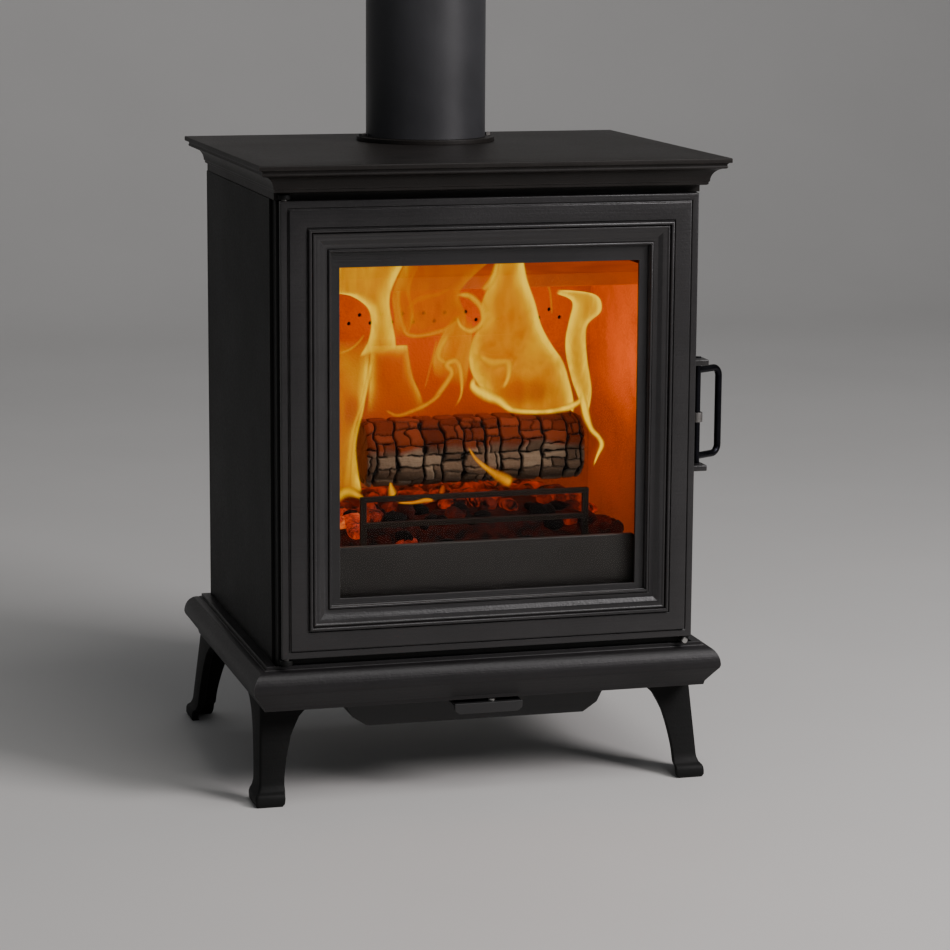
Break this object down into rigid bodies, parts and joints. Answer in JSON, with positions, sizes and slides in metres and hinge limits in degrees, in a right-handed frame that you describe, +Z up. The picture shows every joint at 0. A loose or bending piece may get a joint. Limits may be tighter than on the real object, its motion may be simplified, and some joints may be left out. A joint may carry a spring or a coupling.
{
  "type": "wood burning stove",
  "caption": "Free-standing cast wood burning stove with a framed glass door, moulded top and plinth, splayed legs and a top flue pipe.",
  "frame": {"origin": "on the floor, under the middle of the stove's overall length and width", "axes": "+X to the right as seen from the front, +Y towards the back, +Z up; the door is on the -Y side"},
  "size_m": [0.5061, 0.4377, 0.906],
  "materials": {
    "cast_body": "satin black stove paint",
    "cast_door": "satin black stove paint",
    "sheet_steel": "matt black",
    "flue_steel": "satin grey",
    "plain_steel": "dull",
    "handle_steel": "blued satin",
    "fire_brick": "matt, heat stained",
    "glass": "clear",
    "rope": "woven fibre",
    "charred_wood": "charred and cracked",
    "embers": "glowing",
    "flames": "glowing"
  },
  "bodies": {
    "stove": {"base_plate": "cast_body", "left_side_panel": "cast_body", "right_side_panel": "cast_body", "back_panel": "cast_body", "front_frame": "cast_body", "top_plate": "cast_body", "plinth": "cast_body", "front_left_leg": "cast_body", "front_right_leg": "cast_body", "back_left_leg": "cast_body", "back_right_leg": "cast_body", "leg_flanges": "cast_body", "leg_bolts": "plain_steel", "tie_rods": "plain_steel", "flue_collar": "cast_body", "collar_bolts": "plain_steel", "flue_pipe": "flue_steel", "rear_blanking_plate": "cast_body", "blanking_plate_bolts": "plain_steel", "firebox_floor": "sheet_steel", "hearth_supports": "sheet_steel", "hearth_plate": "cast_body", "grate": "cast_body", "ash_pan": "sheet_steel", "left_brick": "fire_brick", "right_brick": "fire_brick", "back_brick": "fire_brick", "air_panel": "cast_body", "baffle": "cast_body", "fire_fence": "cast_body", "log_retainer": "cast_body", "firewood_log": "charred_wood", "ember_bed": "embers", "heat_shield": "sheet_steel", "shield_screws": "plain_steel", "air_guide": "sheet_steel", "hinge_brackets": "cast_body", "hinge_pins": "plain_steel", "door_rest_peg": "plain_steel", "latch_keeper": "plain_steel", "keeper_screws": "plain_steel"},
    "door": {"door_casting": "cast_door", "door_glass": "glass", "glass_gasket": "rope", "door_rope": "rope", "glass_clips": "plain_steel", "clip_screws": "plain_steel"},
    "handle": {"handle_loop": "handle_steel", "latch_cam": "plain_steel"},
    "air_control": {"air_slider": "sheet_steel", "air_knob": "plain_steel"}
  },
  "joints": [
    {"name": "door_swing", "type": "hinge", "parent": "stove", "child": "door", "pos_m": [-0.212, -0.193, 0.389], "axis": [0, 0, 1], "range_deg": [-110, 0]},
    {"name": "handle_turn", "type": "hinge", "parent": "door", "child": "handle", "pos_m": [0.2255, -0.178, 0.39], "axis": [0, 0, 1], "range_deg": [-60, 0]},
    {"name": "air_slide", "type": "slide", "parent": "stove", "child": "air_control", "axis": [0, -1, 0], "range_m": [0, 0.025]}
  ]
}
